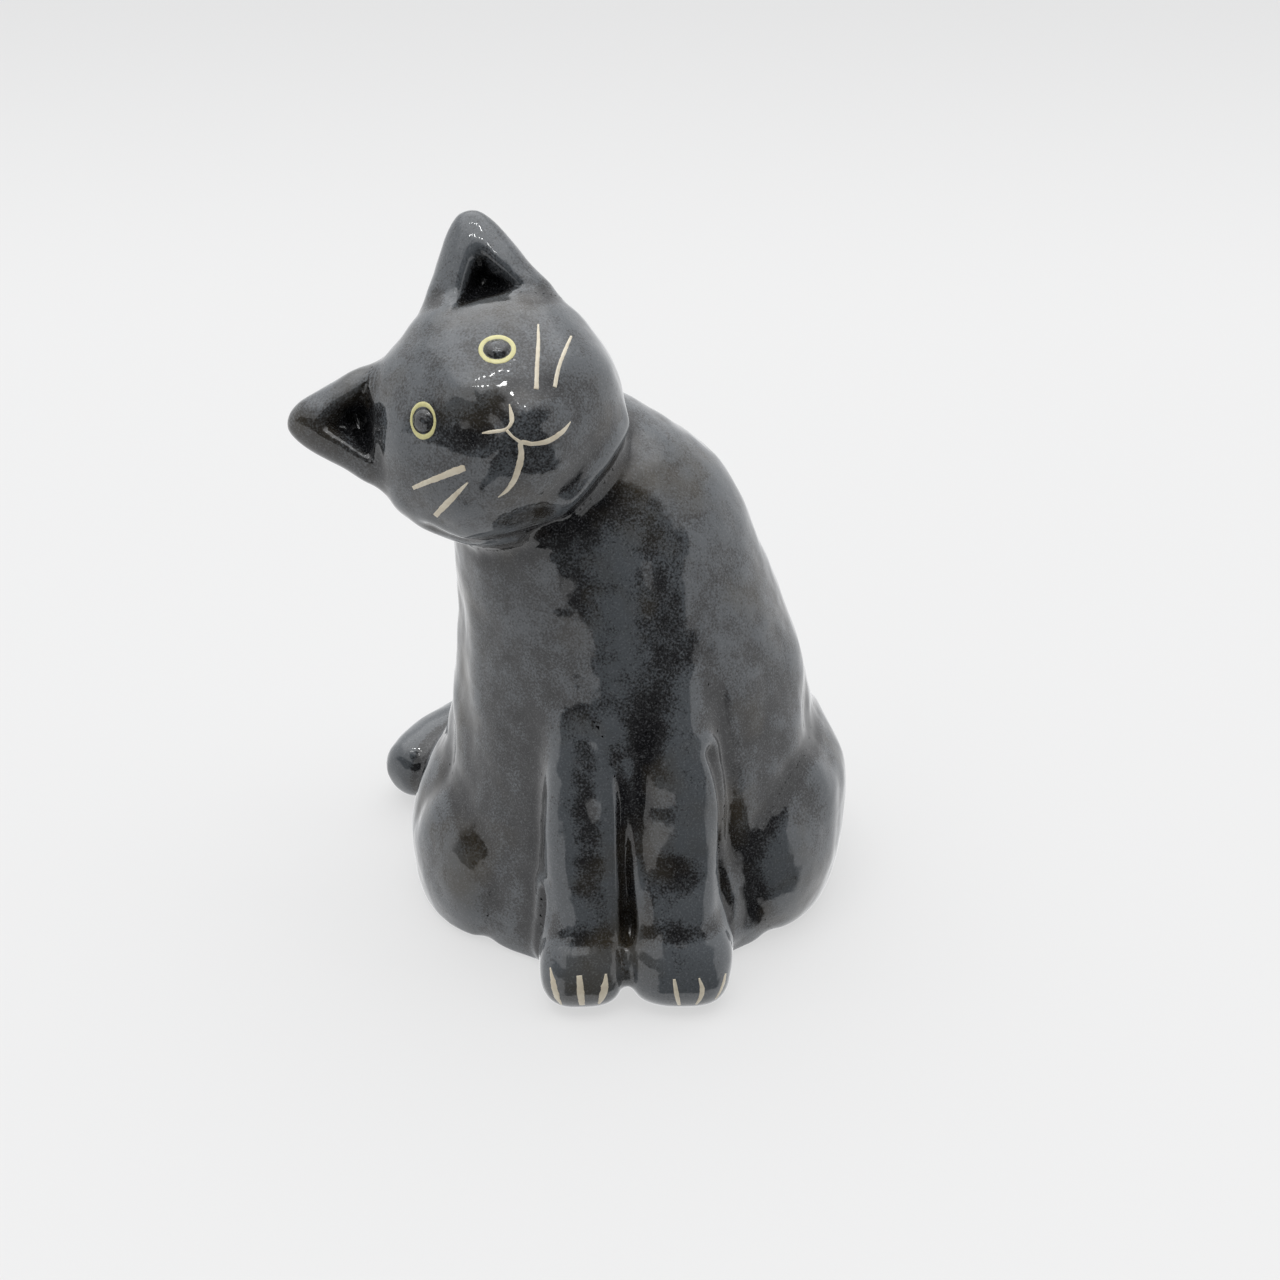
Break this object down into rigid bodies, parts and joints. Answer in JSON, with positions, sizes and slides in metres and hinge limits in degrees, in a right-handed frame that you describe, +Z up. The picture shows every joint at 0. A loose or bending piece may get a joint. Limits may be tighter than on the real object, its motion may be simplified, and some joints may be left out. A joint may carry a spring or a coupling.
{
  "type": "cat figurine",
  "caption": "Hand-built glazed ceramic figurine of a seated cat that leans its head over and looks up, hollow, with an open foot.",
  "frame": {"origin": "middle of the whole figure's footprint, on the surface that it stands on", "axes": "+Z up, along the figure's height; the cat sits facing -Y, with its own left side at +X"},
  "size_m": [0.0724, 0.0734, 0.0934],
  "materials": {
    "charcoal_glaze": "glossy mottled charcoal glaze with a blue-grey cast",
    "cream_slip": "cream-buff slip inlay under clear glaze",
    "yellow_slip": "pale yellow slip inlay under clear glaze",
    "black_glaze": "glossy near-black glaze, pooled thick"
  },
  "bodies": {
    "root": {"trunk": "charcoal_glaze", "head": "charcoal_glaze", "ear_left": "charcoal_glaze", "ear_right": "charcoal_glaze", "foreleg_left": "charcoal_glaze", "foreleg_right": "charcoal_glaze", "haunch_left": "charcoal_glaze", "haunch_right": "charcoal_glaze", "tail": "charcoal_glaze", "eye_ring_left": "yellow_slip", "eye_ring_right": "yellow_slip", "pupil_left": "black_glaze", "pupil_right": "black_glaze", "nose_line": "cream_slip", "philtrum_line": "cream_slip", "mouth_line": "cream_slip", "whisker_left_upper": "cream_slip", "whisker_left_lower": "cream_slip", "whisker_right_upper": "cream_slip", "whisker_right_lower": "cream_slip", "claw_left_inner": "cream_slip", "claw_left_middle": "cream_slip", "claw_left_outer": "cream_slip", "claw_right_inner": "cream_slip", "claw_right_middle": "cream_slip", "claw_right_outer": "cream_slip"}
  },
  "joints": []
}
